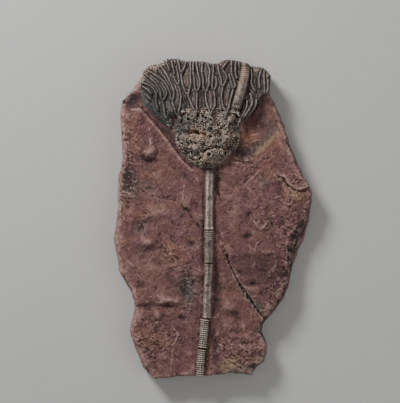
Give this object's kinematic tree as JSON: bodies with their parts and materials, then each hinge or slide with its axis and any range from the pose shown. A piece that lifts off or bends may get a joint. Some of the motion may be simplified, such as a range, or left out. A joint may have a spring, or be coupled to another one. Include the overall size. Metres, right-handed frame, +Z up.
{
  "type": "crinoid fossil",
  "caption": "Fossil sea lily on a loose slab of red-brown siltstone: a fan of forked arms over a knobbly cup, and a broken stem lying down the slab.",
  "frame": {"origin": "middle of the slab's box, on its flat underside", "axes": "+Z up out of the slab's face; +Y along the slab from the stem's end towards the crown; +X to the right with the crown away from the viewer"},
  "size_m": [0.252, 0.404, 0.0475],
  "materials": {
    "red_siltstone": "split siltstone face, matt, gritty, with dark stains and pale scuffs",
    "pinnule_infill": "dark grey-brown pressed bed of fine calcite threads, matt",
    "calyx_calcite": "tan-grey knobbly calcite plates with dark pits, matt",
    "arm_calcite": "pale grey calcite, rubbed lighter along the crests",
    "stem_calcite": "cream to grey calcite with fine rings, matt"
  },
  "bodies": {
    "root": {"matrix_slab": "red_siltstone", "pinnule_mat": "pinnule_infill", "calyx": "calyx_calcite", "arm_01": "arm_calcite", "arm_02": "arm_calcite", "arm_03_stem": "arm_calcite", "arm_03_left": "arm_calcite", "arm_03_right": "arm_calcite", "arm_04_stem": "arm_calcite", "arm_04_left": "arm_calcite", "arm_04_right": "arm_calcite", "arm_05_stem": "arm_calcite", "arm_05_left": "arm_calcite", "arm_05_right": "arm_calcite", "arm_06_stem": "arm_calcite", "arm_06_left": "arm_calcite", "arm_06_left_tip_a": "arm_calcite", "arm_06_left_tip_b": "arm_calcite", "arm_06_right": "arm_calcite", "arm_07_stem": "arm_calcite", "arm_07_left": "arm_calcite", "arm_07_right": "arm_calcite", "arm_08_stem": "arm_calcite", "arm_08_left": "arm_calcite", "arm_08_right": "arm_calcite", "arm_09_stem": "arm_calcite", "arm_09_left": "arm_calcite", "arm_09_right": "arm_calcite", "arm_10_stem": "arm_calcite", "arm_10_left": "arm_calcite", "arm_10_right": "arm_calcite", "arm_11_stem": "arm_calcite", "arm_11_left": "arm_calcite", "arm_11_right": "arm_calcite", "arm_12": "arm_calcite", "arm_13": "arm_calcite", "arm_14": "arm_calcite", "arm_15": "arm_calcite", "arm_16": "arm_calcite", "arm_17": "arm_calcite", "arm_18": "arm_calcite", "arm_19": "arm_calcite", "arm_20": "arm_calcite", "arm_21": "arm_calcite", "stem_1": "stem_calcite", "stem_2": "stem_calcite", "stem_3": "stem_calcite", "stem_4": "stem_calcite", "stem_5": "stem_calcite", "loose_stem_piece": "stem_calcite"}
  },
  "joints": []
}
